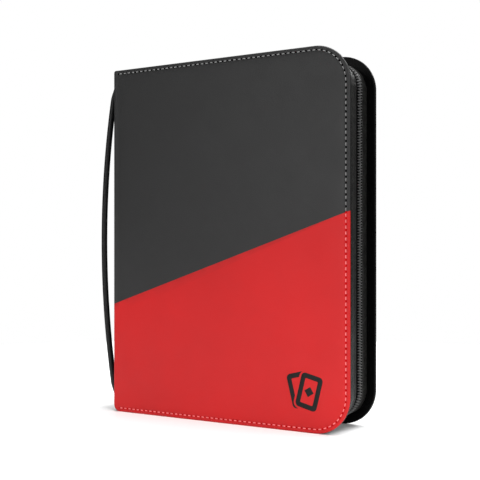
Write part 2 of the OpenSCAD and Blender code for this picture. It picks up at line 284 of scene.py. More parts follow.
class Surface:
    """A Principled material that is built up from procedural nodes."""

    def __init__(self, name, **fixed):
        self.material = bpy.data.materials.new(name)
        self.material.use_nodes = True
        self.tree = self.material.node_tree
        self.shader = self.tree.nodes["Principled BSDF"]
        self.set(**fixed)
        self.place = self.node("TexCoord", {}, "Object")

    def set(self, **fixed):
        for socket, value in fixed.items():
            self.shader.inputs[socket.replace("_", " ")].default_value = value

    def node(self, kind, inputs, output, **settings):
        made = self.tree.nodes.new("ShaderNode" + kind)
        for key, value in settings.items():
            setattr(made, key, value)
        for key, value in inputs.items():
            if isinstance(value, bpy.types.NodeSocket):
                self.tree.links.new(value, made.inputs[key])
            else:
                made.inputs[key].default_value = value
        return made.outputs[output]

    def noise(self, scale, detail=3.0):
        inputs = {"Vector": self.place, "Scale": scale, "Detail": detail}
        return self.node("TexNoise", inputs, "Fac")

    def cells(self, scale):
        return self.node("TexVoronoi", {"Vector": self.place, "Scale": scale}, "Distance")

    def math(self, operation, a, b=0.0):
        return self.node("Math", {0: a, 1: b}, 0, operation=operation)

    def spread(self, value, low, high):
        """Maps 0.3 to 0.7 of a noise onto low to high."""
        inputs = {"Value": value, "From Min": 0.3, "From Max": 0.7, "To Min": low, "To Max": high}
        return self.node("MapRange", inputs, 0)

    def blend(self, factor, a, b):
        """Mixes two colours, each a plain one or a node's."""
        a, b = (c if isinstance(c, bpy.types.NodeSocket) else (*c, 1) for c in (a, b))
        return self.node("Mix", {0: factor, 6: a, 7: b}, 2, data_type="RGBA")

    def rim_mask(self):
        """How much a place lies on an outer edge: up to 1 on outer edges, in patches, and 0 on flat
        ground.
        """
        edge = self.node("NewGeometry", {}, "Pointiness")
        inputs = {"Value": edge, "From Min": 0.508, "From Max": 0.56, "To Min": 0.0, "To Max": 1.0}
        patches = self.spread(self.noise(90, 3), 0.45, 1.0)
        return self.math("MULTIPLY", self.node("MapRange", inputs, 0), patches)

    def bump(self, height, distance, strength=1.0, under=None):
        inputs = {"Height": height, "Distance": distance, "Strength": strength}
        if under is not None:
            inputs["Normal"] = under
        return self.node("Bump", inputs, 0)

    def finish(self, color=None, roughness=None, normal=None):
        for name, value in (("Base Color", color), ("Roughness", roughness), ("Normal", normal)):
            if value is not None:
                self.tree.links.new(value, self.shader.inputs[name])
        return self.material


def tinted(color, factor):
    """A colour made darker or lighter."""
    return tuple(c * factor for c in color)


def leather(name, color, roughness, gloss, grain=0.00006):
    """Smooth PU leather: fine pebbled grain, a slow change of tone and slow, shallow waves.

    Its turned edges carry painted shade that makes them a little darker, and are rubbed smoother."""
    s = Surface(name, Specular_IOR_Level=gloss)
    tone = s.blend(s.spread(s.noise(9, 4), 0, 1), tinted(color, 0.93), tinted(color, 1.07))
    rim_share = s.rim_mask()
    # painted shade: the tone goes darker on the outer edges, where the rims turn away from the light
    tone = s.blend(rim_share, tone, tinted(color, 0.6))
    pebble = s.math("ADD", s.cells(1300), s.math("MULTIPLY", s.noise(2600, 2), 0.5))
    fine = s.bump(pebble, grain)
    waves = s.bump(s.noise(14, 2), 0.0012, 0.2, fine)
    rough = s.spread(s.noise(45, 3), roughness - 0.03, roughness + 0.04)
    return s.finish(tone, s.math("SUBTRACT", rough, s.math("MULTIPLY", rim_share, 0.08)), waves)


def grained(name, color, roughness, gloss):
    """Thin, soft PU leather with a coarse pebbled grain and small creases."""
    s = Surface(name, Specular_IOR_Level=gloss)
    grain = s.cells(520)
    tone = s.blend(s.spread(s.noise(240, 4), 0, 1), tinted(color, 0.6), tinted(color, 1.5))
    pebbles = s.bump(grain, 0.0004, 0.8)
    creases = s.bump(s.noise(170, 3), 0.0016, 0.55, pebbles)
    return s.finish(tone, s.spread(s.noise(160, 3), roughness - 0.08, roughness + 0.1), creases)


def woven(name, color, pitch, roughness=0.85, depth=0.00012):
    """A plain weave that needs no unwrapping: threads along z and across it."""
    s = Surface(name, Specular_IOR_Level=0.1)
    x, y, z = (s.node("SeparateXYZ", {0: s.place}, k) for k in range(3))
    turns = 2 * math.pi / (pitch * MM)
    along = s.math("MULTIPLY", s.math("ADD", x, z), turns)
    across = s.math("MULTIPLY", s.math("ADD", y, z), turns)
    weave = s.math("MULTIPLY", s.math("SINE", along), s.math("SINE", across))
    fuzz = s.math("MULTIPLY", s.noise(3000, 2), 0.6)
    height = s.math("ADD", weave, fuzz)
    tone = s.blend(s.spread(s.noise(60, 4), 0, 1), tinted(color, 0.8), tinted(color, 1.2))
    rough = s.spread(s.noise(400, 2), roughness - 0.05, roughness + 0.05)
    return s.finish(tone, rough, s.bump(height, depth))


def thread(name, color):
    """Twisted sewing thread."""
    s = Surface(name, Specular_IOR_Level=0.2)
    tone = s.blend(s.spread(s.noise(900, 3), 0, 1), tinted(color, 0.8), tinted(color, 1.15))
    return s.finish(tone, s.spread(s.noise(700, 2), 0.6, 0.8), s.bump(s.noise(2500, 2), 0.0001))


def plastic(name, color, roughness, gloss, grain=0.00003):
    """Moulded plastic with faint flow marks and a fine satin texture."""
    s = Surface(name, Specular_IOR_Level=gloss)
    tone = s.blend(s.spread(s.noise(120, 4), 0, 1), tinted(color, 0.88), tinted(color, 1.12))
    rough = s.spread(s.noise(300, 3), roughness - 0.06, roughness + 0.06)
    return s.finish(tone, rough, s.bump(s.noise(1800, 3), grain))


def metal(name, color, roughness, scratch=0.00001):
    """Plated metal with soft smudges, hairline scratches and edges that are rubbed bright."""
    s = Surface(name, Metallic=1.0)
    stretched = s.node("Mapping", {"Vector": s.place, "Scale": (1, 1, 0.05)}, 0)
    hair = s.node("TexNoise", {"Vector": stretched, "Scale": 2500.0, "Detail": 2.0}, "Fac")
    tone = s.blend(s.spread(s.noise(70, 4), 0, 1), tinted(color, 0.93), tinted(color, 1.05))
    rim_share = s.rim_mask()
    tone = s.blend(rim_share, tone, tinted(color, 1.3))
    rough = s.spread(s.noise(160, 4), roughness - 0.05, roughness + 0.08)
    rough = s.math("SUBTRACT", rough, s.math("MULTIPLY", rim_share, 0.06))
    return s.finish(tone, rough, s.bump(hair, scratch))


def film(name, color, alpha, roughness):
    """Clear soft film: a thin gloss over whatever lies behind it."""
    s = Surface(name, Alpha=alpha, Specular_IOR_Level=1.0)
    tone = s.blend(s.spread(s.noise(30, 3), 0, 1), tinted(color, 0.8), tinted(color, 1.2))
    ripple = s.bump(s.noise(35, 3), 0.0008, 0.5)
    return s.finish(tone, s.spread(s.noise(50, 3), roughness - 0.05, roughness + 0.08), ripple)


CHARCOAL = leather("charcoal_leather", (0.011, 0.011, 0.0112), 0.48, 0.42)
RED = leather("red_leather", (0.5, 0.0025, 0.0035), 0.48, 0.32)
BLACK = leather("black_leather", (0.008, 0.008, 0.0082), 0.42, 0.4)
# black leather turned in round the covers, made darker and matter than the outer leather: painted
# shade for the overhang's inner face and the edges
INNER_SHADE_BLACK = leather("inner_leather_painted_shade", (0.002, 0.002, 0.0021), 0.3, 0.06)
GUSSET = grained("gusset_leather", (0.009, 0.009, 0.0085), 0.42, 0.17)
HANDLE = leather("handle_leather", (0.004, 0.004, 0.0042), 0.4, 0.25)
LINING = woven("lining_cloth", (0.01, 0.01, 0.011), 0.9)
# black woven tape, made darker still as painted shade for the groove beside the teeth and the gaps
# between them
TAPE_AND_SHADE_BLACK = woven("tape_weave_painted_shade", (0.0015, 0.0015, 0.0016), 0.8)
GREY_THREAD = thread("grey_thread", (0.22, 0.22, 0.22))
PINK_THREAD = thread("pink_thread", (0.8, 0.2, 0.21))
BLACK_THREAD = thread("black_thread", (0.03, 0.03, 0.03))
# painted shade inside the needle holes: near-black bowls in the black leather, deep saturated red ones
# in the red
HOLE_SHADE_BLACK = leather("painted_shade_hole_black", (0.002, 0.002, 0.002), 0.8, 0.02)
HOLE_SHADE_RED = leather("painted_shade_hole_red", (0.62, 0.0006, 0.004), 0.8, 0.02)
TEETH = plastic("zip_teeth", (0.085, 0.085, 0.085), 0.32, 0.7)
MARK = plastic("mark_print", (0.009, 0.0105, 0.01), 0.5, 0.14)
SHEET = plastic("sheet_base", (0.012, 0.012, 0.013), 0.5, 0.4)
BOARD = plastic("grey_board", (0.3, 0.27, 0.22), 0.9, 0.1, 0.0001)
GUNMETAL = metal("gunmetal", (0.16, 0.16, 0.165), 0.32)
STEEL = metal("plated_steel", (0.72, 0.72, 0.73), 0.18)
FILM = film("pocket_film", (0.09, 0.095, 0.1), 0.32, 0.13)
WELD_FILM = film("welded_film", (0.32, 0.33, 0.34), 0.5, 0.35)


# ---- covers ----

# (inset, depth along the sewn sides, depth along the spine): the pocket's floor, the flat
# sewn edge, the stitch groove and the padding's rise to the face
SKIN_PROFILE = [
    (0.97, 0.98, 0.98), (0.97, 2.1, 2.1), (0.12, 2.1, 2.1), (0, 1.95, 1.95), (0, 1.7, 1.4),
    (0.08, 1.45, 0.95), (0.32, 1.22, 0.5), (0.7, 1, 0.2), (1.15, 0.83, 0.04), (1.6, 0.72, 0),
    (2.1, 0.62, 0), (2.6, 0.6, 0), (3.1, 0.66, 0), (3.5, 0.74, 0), (STITCH_INSET, GROOVE, 0),
    (4.3, 0.66, 0), (4.7, 0.54, 0), (5.3, 0.42, 0), (6.2, 0.29, 0), (7.5, 0.17, 0),
    (9.3, 0.07, 0), (12, 0.02, 0), (20, 0, 0),
]
# the inner leather that is sewn to it, from under the lining round to the seam
INNER_PROFILE = [
    (12, 3.83), (12, 4.3), (1.2, 4.4), (0.6, 4.3), (0.2, 4), (0, 3.4), (0, 2.7), (0.12, 2.3),
    (0.35, 2.12), (0.97, 2.12), (0.97, 3.83),
]
# the lining cloth, turned under at its edge
LINING_PROFILE = [
    (11.4, 3.83), (11, 4.1), (11.2, 4.34), (12.2, 4.4), (30, 4.4),
]


def sewn_share(u):
    """0 beside the spine, where a cover has no seam, and 1 past it."""
    return smooth(u, 3, 11)


def stitch_holes():
    """Where the needle went through a cover, with the seam's direction at each hole."""
    run = three_sides(STITCH_INSET, COVER_LEFT + 5, FINE)
    return walk(run, STITCH_PITCH, 1.0)


def skin_depth(u, z, inset, sewn, plain, pits):
    """Depth of a skin's outer surface: no groove along the spine, a dimple at every hole."""
    depth = mix(plain, sewn, sewn_share(u))
    if abs(inset - STITCH_INSET) < PIT_REACH:
        distance = pits.find((u, z, 0))[2]
        depth += PIT_DEPTH * math.exp(-((distance / PIT_R) ** 2))
    return depth


def skin(name, side, material, upper=None):
    """A cover's outer leather. side is "front" or "back"; upper cuts it at the colour line."""
    holes = stitch_holes()
    pits = KDTree(len(holes))
    for i, ((u, z), _) in enumerate(holes):
        pits.insert((u, z, 0), i)
    pits.balance()
    rings = []
    for inset, sewn, plain in SKIN_PROFILE:
        ring = []
        for u, z in cover_ring(inset, FINE):
            d = skin_depth(u, z, inset, sewn, plain, pits)
            ring.append(put(u, at_depth(side, d), z))
        rings.append(ring)
    bm = bmesh.new()
    add_loft(bm, rings)
    if upper is not None:
        cut(bm, upper)
    return to_object(name, bm, material, 60)


def cut(bm, upper):
    """Keeps what lies above the colour line, or below it, and closes the cut."""
    start, end = put(COVER_LEFT, 0, SPLIT_LOW), put(WIDTH, 0, SPLIT_HIGH)
    normal = (end - start).cross(Vector((0, 1, 0)))
    if (normal.z > 0) == upper:
        normal.negate()
    geometry = bm.verts[:] + bm.edges[:] + bm.faces[:]
    bmesh.ops.bisect_plane(bm, geom=geometry, plane_co=start, plane_no=normal, clear_outer=True)
    bmesh.ops.holes_fill(bm, edges=[e for e in bm.edges if e.is_boundary])


def front_cover():
    black = skin("front_cover_leather_black", "front", CHARCOAL, upper=True)
    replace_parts(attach(black, "front_cover"), "front_skin_black")
    red = skin("front_cover_leather_red", "front", RED, upper=False)
    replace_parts(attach(red, "front_cover"), "front_skin_red")


def back_cover():
    obj = skin("back_cover_leather", "back", BLACK)
    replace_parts(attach(obj, "back_cover"), "back_skin")


def cover_rings(profile, side):
    """Outlines of a cover's layer, one for each (inset, depth) of its profile."""
    rings = []
    for inset, depth in profile:
        v = at_depth(side, depth)
        rings.append([put(u, v, z) for u, z in cover_ring(inset, COARSE)])
    return rings


def cover_inside(side, body):
    """The strip of leather that is turned in round a cover, and the lining inside it."""
    rings = cover_rings(INNER_PROFILE, side)
    # its near-black, matt finish is partly painted shade, where the overhang and the edge lie in shade
    edge = loft(side + "_cover_inner_leather", rings, INNER_SHADE_BLACK, 50, wrap=True)
    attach(edge, body)
    cloth = loft(side + "_cover_lining_cloth", cover_rings(LINING_PROFILE, side), LINING)
    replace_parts(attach(cloth, body), side + "_lining")


# (share of the dash's length, share of the thread's thickness)
STITCH_SHAPE = ((-0.5, 0.25), (-0.42, 0.75), (-0.2, 1), (0.2, 1), (0.42, 0.75), (0.5, 0.25))
STITCH_RISE = 0.3
STITCH_SINK = 0.25


def add_stitch(bm, a, b, place):
    """One dash of thread between needle holes a and b, arched over the leather.

    a and b are points in the plane of the leather; place(x, y, out) gives a 3-D point."""
    dx, dy = b[0] - a[0], b[1] - a[1]
    pitch = math.hypot(dx, dy)
    side = (-dy / pitch, dx / pitch)
    length = min(STITCH_LENGTH / pitch, 0.8)
    rings = []
    for t, fat in STITCH_SHAPE:
        x = mix(a[0], b[0], 0.5 + t * length)
        y = mix(a[1], b[1], 0.5 + t * length)
        lift = mix(-STITCH_SINK, STITCH_RISE, 1 - (2 * t) ** 4)
        ring = []
        for k in range(6):
            angle = k * math.pi / 3
            across = THREAD_R * fat * math.cos(angle)
            out = THREAD_R * 0.8 * fat * math.sin(angle) + lift
            ring.append(place(x + side[0] * across, y + side[1] * across, out))
        rings.append(ring)
    add_loft(bm, rings)


def seam(name, side, body, material, keep):
    """The row of thread dashes along a cover's three sewn edges."""

    def place(u, z, out):
        return put(u, at_depth(side, GROOVE * sewn_share(u) - out), z)

    bm = bmesh.new()
    holes = [hole for hole, _ in stitch_holes()]
    for a, b in zip(holes, holes[1:]):
        if keep((a[0] + b[0]) / 2, (a[1] + b[1]) / 2):
            add_stitch(bm, a, b, place)
    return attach(to_object(name, bm, material, 60), body)


# the bowl that lines a needle hole, from its rim inwards, and its height over the leather
HOLE_RADII = (1.1, 0.75, 0.35, 0.05)
HOLE_RISE = 0.05


def shade_bowls(name, side, body, material, keep):
    """Painted shade on the leather inside each needle hole, a shallow bowl that lines the dimple."""
    bm = bmesh.new()
    for (u, z), _ in stitch_holes():
        if not keep(u, z):
            continue
        groove = GROOVE * sewn_share(u) - HOLE_RISE
        rings = []
        for radius in HOLE_RADII:
            depth = groove + PIT_DEPTH * math.exp(-((radius / PIT_R) ** 2))
            rings.append(circle(u, at_depth(side, depth), z, radius, 12))
        add_loft(bm, rings)
    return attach(to_object(name, bm, material, 80), body)


def above_split(u, z):
    """Whether a place lies above the slanting line between the two colours."""
    return z > mix(SPLIT_LOW, SPLIT_HIGH, (u - COVER_LEFT) / (WIDTH - COVER_LEFT))


def seams():
    """Thread and needle holes of both covers. The thread's colour changes with the leather's."""

    def below_split(u, z):
        return not above_split(u, z)

    def anywhere(u, z):
        return True

    # each row: name, side, body, thread, the painted shade in its needle holes, and where it runs
    for name, side, body, yarn, hole, keep in (
        ("front_seam_upper", "front", "front_cover", GREY_THREAD, HOLE_SHADE_BLACK, above_split),
        ("front_seam_lower", "front", "front_cover", PINK_THREAD, HOLE_SHADE_RED, below_split),
        ("back_seam", "back", "back_cover", GREY_THREAD, HOLE_SHADE_BLACK, anywhere),
    ):
        seam(name + "_thread", side, body, yarn, keep)
        shade_bowls(name + "_needle_hole_shade", side, body, hole, keep)


# ---- the mark ----


MARK_RISE = 0.12


def card_mark():
    """The generic mark of two fanned cards, printed slightly proud of the leather."""
    bm = bmesh.new()
    bm.from_mesh(frame["nodes"]["front_mark"].data)
    bmesh.ops.remove_doubles(bm, verts=bm.verts, dist=1e-6)
    bmesh.ops.dissolve_limit(bm, angle_limit=0.01, verts=bm.verts, edges=bm.edges)
    for vert in bm.verts:
        vert.co.y -= MARK_RISE * MM
    rim = [e for e in bm.edges if all(v.co.y < V0 for v in e.verts) and e.calc_face_angle(0) > 1]
    bmesh.ops.bevel(bm, geom=rim, offset=0.1 * MM, segments=2, affect="EDGES", profile=0.5)
    obj = to_object("card_mark_print", bm, MARK, 50)
    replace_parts(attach(obj, "front_cover"), "front_mark")


# ---- gussets and zip ----

# where the gussets' inner faces meet the tapes
TAPE_INSET = 10.2


def outward(start, step):
    """Unit vectors that point out of the three open sides at each of their points."""
    found = []
    for outer, inner in zip(three_sides(8, start, step), three_sides(9, start, step)):
        out_u, out_z = outer[0] - inner[0], outer[1] - inner[1]
        length = math.hypot(out_u, out_z)
        found.append((out_u / length, out_z / length))
    return found


def pucker(u, v, z):
    """How far a gusset's outer face stands in or out, as a share of its wave."""
    near, past = 25, 8
    corner = smooth(abs(z - HEIGHT / 2), HEIGHT / 2 - FORE_R - near, HEIGHT / 2 - FORE_R + past)
    corner *= smooth(u, WIDTH - FORE_R - near, WIDTH - FORE_R + past)
    return (0.25 + corner) * noise.noise(Vector((u / 7, v / 16, z / 7)))


def swept_wall(name, profile, start, material, body, node, wave=0.0, step=COARSE):
    """A closed profile of (inset, v) points swept along the three open sides.

    wave is how far soft leather puckers in and out, most at the corners."""
    runs = []
    for inset, v in profile:
        run = []
        for (u, z), (out_u, out_z) in zip(three_sides(inset, start, step), outward(start, step)):
            ease = wave * pucker(u, v, z) if inset < 9 else 0
            run.append(put(u + out_u * ease, v, z + out_z * ease))
        runs.append(run)
    rings = [list(points) for points in zip(*runs)]
    obj = loft(name, rings, material, smooth_angle=50)
    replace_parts(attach(obj, body), node)
    return obj


def gusset(side, body, profile):
    """One gusset, from its profile of (inset, v) points."""
    start = span("front_gusset")[0][0]
    name, node = side + "_gusset_leather", side + "_gusset"
    swept_wall(name, profile, start, GUSSET, body, node, wave=0.5, step=1.5)


def front_gusset():
    """The wide gusset: nearly flat, with a rolled edge beside the zip."""
    _, (v0, v1), _ = span("front_gusset")
    gusset("front", "front_cover", [
        (8.6, v0), (8.75, v0 + 3), (8.5, v0 + 9), (8.35, v0 + 15), (8.5, v1 - 4), (8.55, v1 - 2.4),
        (8.2, v1 - 1.8), (8.0, v1 - 1.1), (8.15, v1 - 0.4), (8.6, v1), (9.6, v1), (10.1, v1 - 0.5),
        (TAPE_INSET, v0),
    ])


def back_gusset():
    """The narrow gusset, whose edge reaches over the tape to the teeth."""
    _, (_, v1), _ = span("back_gusset")
    lip = span("back_zip_coil")[1][1] + 0.3
    gusset("back", "back_cover", [
        (TAPE_INSET, v1), (TAPE_INSET, lip + 0.6), (9.9, lip), (9.2, lip), (8.8, lip + 0.5),
        (8.62, lip + 1.6), (8.5, mix(lip, v1, 0.5)), (8.6, v1 - 1), (8.6, v1),
    ])


def tapes():
    """The woven tapes under the gussets' edges, which carry the teeth."""
    for side, body in (("front", "front_cover"), ("back", "back_cover")):
        node = side + "_zip_tape"
        (start, _), (v0, v1), _ = span(node)
        profile = [
            (TAPE_INSET, v0 + 0.2), (10.25, v1 - 0.3), (10.5, v1), (10.8, v1), (11, v1 - 0.3),
            (11, v0),
        ]
        # the tape's near-black finish is partly painted shade, in the groove beside the teeth
        swept_wall(side + "_zip_tape_weave", profile, start, TAPE_AND_SHADE_BLACK, body, node)


TOOTH_PITCH = 2.6
# where the teeth stand, and their lower and upper faces over that line
TOOTH_INSET = 9.1
TOOTH_LOW = -1.1
TOOTH_HIGH = 1.05
# how far the tape's edge covers the root of a tooth
ROOT_LAP = 0.3
# how far a head stays off the middle while open, and how far it reaches past it when closed
HEAD_OFF = 0.62
HEAD_LAP = 0.25
# the run from the zip's start that the slider clears
CLEARED = 200
# (share of the way from the root to the head, half width, half height)
TOOTH_SHAPE = (
    (0, 0.3, 0.5), (0.07, 0.46, 0.8), (0.2, 0.52, 0.95), (0.42, 0.34, 0.8), (0.6, 0.34, 0.75),
    (0.8, 0.56, 0.95), (0.93, 0.46, 0.85), (1, 0.26, 0.5),
)


def flattened(x):
    """A sine or cosine cut off near its ends, which makes flat sides with chamfers."""
    return max(-0.8, min(0.8, 1.05 * x)) / 0.8


def add_tooth(bm, place, direction, root, head):
    """One moulded tooth, from v = root to v = head."""
    (u, z), (du, dz) = place, direction
    out = (-dz, du)
    middle, half = (TOOTH_LOW + TOOTH_HIGH) / 2, (TOOTH_HIGH - TOOTH_LOW) / 2
    rings = []
    for share, wide, tall in TOOTH_SHAPE:
        ring = []
        for k in range(8):
            angle = (k + 0.5) * math.pi / 4
            across = wide * flattened(math.cos(angle))
            up = middle + half * tall * flattened(math.sin(angle))
            v = mix(root, head, share)
            ring.append(put(u + du * across + out[0] * up, v, z + dz * across + out[1] * up))
        rings.append(ring)
    add_loft(bm, rings)


def teeth():
    """Two rows of teeth, half a pitch apart. Past the slider's travel their heads interlock."""
    coil_start = span("front_zip_coil")[0][0]
    middle = (span("front_zip_coil")[1][1] + span("back_zip_coil")[1][0]) / 2
    for side, body, sign, offset in (("front", "front_cover", -1, 0), ("back", "back_cover", 1, 0.5)):
        node = side + "_zip_coil"
        root = span(node)[1][0 if side == "front" else 1] - sign * ROOT_LAP
        bm = bmesh.new()
        run = three_sides(TOOTH_INSET, coil_start + 1, 1.0)
        for (u, z), direction in walk(run, TOOTH_PITCH, offset * TOOTH_PITCH):
            cleared = u < coil_start + CLEARED and z > HEIGHT - TOOTH_INSET - 0.5
            head = middle + sign * (HEAD_OFF if cleared else -HEAD_LAP)
            add_tooth(bm, (u, z), direction, root, head)
        obj = to_object(side + "_zip_teeth_row", bm, TEETH, 50)
        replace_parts(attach(obj, body), node)


# ---- spine ----

# (inset, depth) of the spine's leather: the board's pocket, the turned edge and the soft face
SPINE_PROFILE = [
    (0.97, 0.98), (0.97, 3.8), (0.5, 3.8), (0.1, 3.6), (0, 3.2), (0, 1.3), (0.2, 0.6), (0.7, 0.15),
    (1.4, 0), (20, -0.15),
]


def spine():
    """The spine's leather, wrapped round its board."""
    _, (v0, v1), (z0, z1) = span("spine_skin")
    rings = []
    for inset, depth in SPINE_PROFILE:
        ring = box_ring((v0, z0), (v1, z1), inset, 2.5)
        rings.append([put(depth, v, z) for v, z in ring])
    obj = loft("spine_leather", rings, BLACK, smooth_angle=60)
    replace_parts(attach(obj, "spine"), "spine_skin")


# (inset, share of the thickness)
SPINE_LINING_EDGE = [(0.6, 0), (0.15, 0.15), (0, 0.45), (0.1, 0.85), (0.5, 1), (2.5, 1.04)]


def spine_lining():
    """Cloth over the spine board: its edges turned under, slightly raised inside the turn."""
    (u0, u1), (v0, v1), (z0, z1) = span("spine_lining")
    rings = []
    for inset, share in SPINE_LINING_EDGE:
        ring = box_ring((v0, z0), (v1, z1), inset, 2, 6)
        rings.append([put(mix(u0, u1, share), v, z) for v, z in ring])
    obj = loft("spine_lining_cloth", rings, LINING, smooth_angle=50)
    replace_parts(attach(obj, "spine"), "spine_lining")


# cross-section of a hinge fold, (u, depth) from inside the cover's edge to inside the spine's
FOLD = ((1.6, 2.4), (0.95, 3.4), (0.68, 4.2), (0.74, 4.9), (0.7, 5.7), (0.95, 6.6), (1.6, 7.6))
# half its thickness, and how far it runs past the CAD's strip at both ends
FOLD_HALF = 0.32
FOLD_PAST = 3


def hinge_fold(side):
    """The soft fold of leather that joins the spine to a cover, as one fixed strip."""
    _, _, (z0, z1) = span(side + "_hinge_strip")
    section = []
    for sign in (-1, 1):
        points = FOLD if sign < 0 else FOLD[::-1]
        for (u, v), (du, dv) in zip(points, slopes(points)):
            section.append((u + sign * abs(dv) * FOLD_HALF, v + FOLD_HALF * du))
    rings = []
    count = 60
    for k in range(count + 1):
        z = mix(z0 - FOLD_PAST, z1 + FOLD_PAST, k / count)
        rings.append([put(u, at_depth(side, v), z) for u, v in section])
    obj = loft(side + "_hinge_fold", rings, BLACK, smooth_angle=70)
    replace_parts(obj, side + "_hinge_strip")
    ends = [put(u, at_depth(side, v), HEIGHT / 2) for u, v in (FOLD[1], FOLD[-2])]
    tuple(ends[0])
    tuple(ends[1])
    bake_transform(obj)


def slopes(points):
    """Unit direction of a run of points at each of them."""
    found = []
    for i in range(len(points)):
        a, b = points[max(0, i - 1)], points[min(len(points) - 1, i + 1)]
        length = math.hypot(b[0] - a[0], b[1] - a[1])
        found.append(((b[0] - a[0]) / length, (b[1] - a[1]) / length))
    return found


# ---- handle ----

# the roll: its radius, its distance from the front face, where the arc of its middle ends,
# how much shorter than the tabs that arc is, and how far it bows past the CAD's handle
HANDLE_R = 3.0
HANDLE_V = 10
HANDLE_END_X = -3.7
ARC_SHORT = 6
HANDLE_EXTRA = 0.7
# the flat tab at each end: half its width and thickness, how far its middle is from the
# handle's rear edge and from the spine, and its round corners' length and width
TAB_HALF_W = 6.4
TAB_HALF_T = 1.0
TAB_MIDDLE = 6.5
TAB_OFF = 1.05
TAB_CORNER = 2.5
TAB_CORNER_CUT = 2.4
TAB_STITCH_PITCH = 2.2


def handle():
    """The rolled handle: an arc that flattens into a sewn tab at both ends."""
    (u_low, _), (_, v_high), (z_low, z_high) = span("carry_handle")
    middle = (z_low + z_high) / 2
    tab_end = (z_high - z_low) / 2
    half = tab_end - ARC_SHORT
    bow = -u_low - HANDLE_R + HANDLE_EXTRA
    sag = bow + HANDLE_END_X
    radius = (half * half + sag * sag) / (2 * sag)
    count = 200
    rings = []
    for k in range(count + 1):
        dz = mix(-tab_end, tab_end, k / count)
        flat = smooth(abs(dz), half - 20, half + 2)
        arc_u = radius - bow - math.sqrt(max(0, radius * radius - dz * dz))
        u = mix(arc_u, -TAB_OFF, flat)
        thick = mix(HANDLE_R, TAB_HALF_T, flat)
        wide = mix(HANDLE_R, TAB_HALF_W, flat)
        v = mix(HANDLE_V, v_high - TAB_MIDDLE, flat)
        end = max(0, abs(dz) - tab_end + TAB_CORNER) / TAB_CORNER
        wide -= TAB_CORNER_CUT * (1 - math.sqrt(max(0, 1 - end * end)))
        thick *= mix(1, 0.6, end)
        rings.append(handle_ring(u, v, middle + dz, thick, wide, flat))
    obj = loft("rolled_handle", rings, HANDLE, smooth_angle=60)
    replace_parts(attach(obj, "spine"), "carry_handle")


def handle_ring(u, v, z, thick, wide, flat):
    """One section of the handle: a circle with the seam's groove, or the flat tab."""
    count = 28
    ring = []
    for k in range(count):
        angle = 2 * math.pi * k / count
        cos, sin = math.cos(angle), math.sin(angle)
        square = mix(1, 0.55, flat)
        du = math.copysign(abs(cos) ** square, cos) * thick
        dv = math.copysign(abs(sin) ** square, sin) * wide
        seam_at = abs(math.remainder(angle - math.radians(150), 2 * math.pi))
        pinch = 1 - 0.16 * (1 - flat) * math.exp(-((seam_at / 0.16) ** 2))
        ring.append(put(u + du * pinch, v + dv * pinch, z))
    return ring


def tab_seams():
    """A box of stitches that holds each end of the handle to the spine."""
    _, (_, v_high), (z_low, z_high) = span("carry_handle")
    face = -TAB_OFF - TAB_HALF_T

    def place(v, z, out):
        return put(face - out, v, z)

    bm = bmesh.new()
    v_near, v_far = v_high - 11, v_high - 2
    for end, way in ((z_low, 1), (z_high, -1)):
        z_near, z_far = end + way * 2.2, end + way * 11
        corners = [(v_near, z_near), (v_far, z_near), (v_far, z_far), (v_near, z_far)]
        for a, b in zip(corners, corners[1:] + corners[:1]):
            holes = [hole for hole, _ in walk([a, b], TAB_STITCH_PITCH)]
            for start, stop in zip(holes, holes[1:]):
                add_stitch(bm, start, stop, place)
    obj = to_object("handle_tab_thread", bm, BLACK_THREAD, 60)
    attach(obj, "spine")


# ---- metal parts ----


def round_edges(node, radius, bend=30):
    """A mesh of a CAD part with its sharp edges rounded off."""
    bm = bmesh.new()
    bm.from_mesh(frame["nodes"][node].data)
    bmesh.ops.remove_doubles(bm, verts=bm.verts, dist=1e-6)
    bmesh.ops.dissolve_limit(bm, angle_limit=math.radians(1), verts=bm.verts, edges=bm.edges)
    sharp = [e for e in bm.edges if e.is_manifold and e.calc_face_angle(0) > math.radians(bend)]
    bmesh.ops.bevel(
        bm, geom=sharp, offset=radius * MM, segments=3, profile=0.5, affect="EDGES", clamp_overlap=True
    )
    return bm


def softened(node, name, material, body, radius):
    """A CAD part with soft edges, as pressed or cast metal has them."""
    obj = to_object(name, round_edges(node, radius), material, 50)
    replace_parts(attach(obj, body), node)


def metal_parts():
    """The metal parts whose edges are rounded by the radius at the end of each row."""
    for node, name, body, radius in (
        ("ring_rail", "arched_ring_rail", "spine", 0.8),
        ("rail_rivets", "domed_rail_rivets", "spine", 0.6),
        ("front_hinge_plate", "front_sprung_plate", "front_rings", 0.3),
        ("back_hinge_plate", "back_sprung_plate", "back_rings", 0.3),
        ("booster_top", "top_thumb_lever", "top_booster", 0.45),
        ("booster_bottom", "bottom_thumb_lever", "bottom_booster", 0.45),
        ("booster_pins", "headed_booster_pins", "spine", 0.25),
    ):
        softened(node, name, STEEL, body, radius)
    for node, name, body, radius in (
        ("zip_slider", "cast_zip_slider", "slider", 0.4),
        ("zip_pull", "cast_zip_pull", "pull", 0.35),
        ("front_zip_stops", "front_crimped_stops", "front_cover", 0.5),
        ("back_zip_stops", "back_crimped_stops", "back_cover", 0.5),
    ):
        softened(node, name, GUNMETAL, body, radius)


# how far each ring tip stays off the other
TIP_GAP = 0.03


def ring_wires():
    """The ring halves, with rounded tips that meet with a hair's gap."""
    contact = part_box("front_ring_halves")[1].y
    for side, way in (("front", -1), ("back", 1)):
        node = side + "_ring_halves"
        bm = round_edges(node, 0.3)
        for vert in bm.verts:
            if abs(vert.co.y - contact) < TIP_GAP * MM:
                vert.co.y += way * TIP_GAP * MM
        obj = to_object(side + "_ring_wires", bm, STEEL, 50)
        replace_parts(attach(obj, side + "_rings"), node)


# ---- sheets ----

